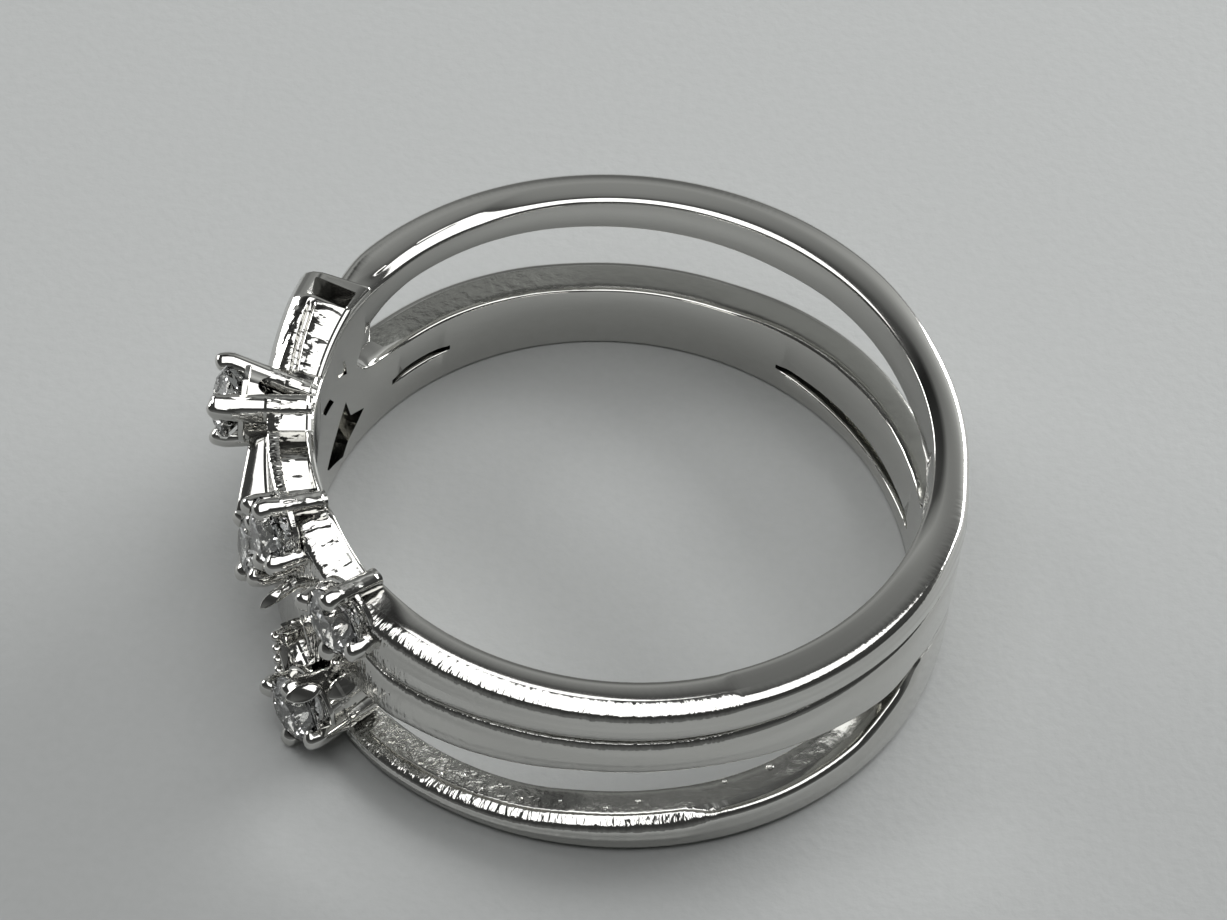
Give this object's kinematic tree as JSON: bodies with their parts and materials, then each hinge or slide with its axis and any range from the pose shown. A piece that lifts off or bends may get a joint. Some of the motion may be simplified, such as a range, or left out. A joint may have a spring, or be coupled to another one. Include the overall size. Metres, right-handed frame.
{
  "type": "finger ring",
  "caption": "Narrow-banded silver finger ring with open gaps between its bands and small round stones in prong settings across the head.",
  "frame": {"origin": "centre of the finger bore in the plane of the lower rim, on which the ring lies", "axes": "+Z along the bore, away from the surface the ring lies on; -X towards the stone-set head"},
  "size_m": [0.0204, 0.019, 0.0065],
  "materials": {
    "silver": "polished",
    "clear_stone": "polished, faceted"
  },
  "bodies": {
    "root": {"ring_body": "silver", "stone_far": "clear_stone", "stone_middle": "clear_stone", "stone_upper": "clear_stone", "stone_lower": "clear_stone", "stone_near": "clear_stone"}
  },
  "joints": []
}
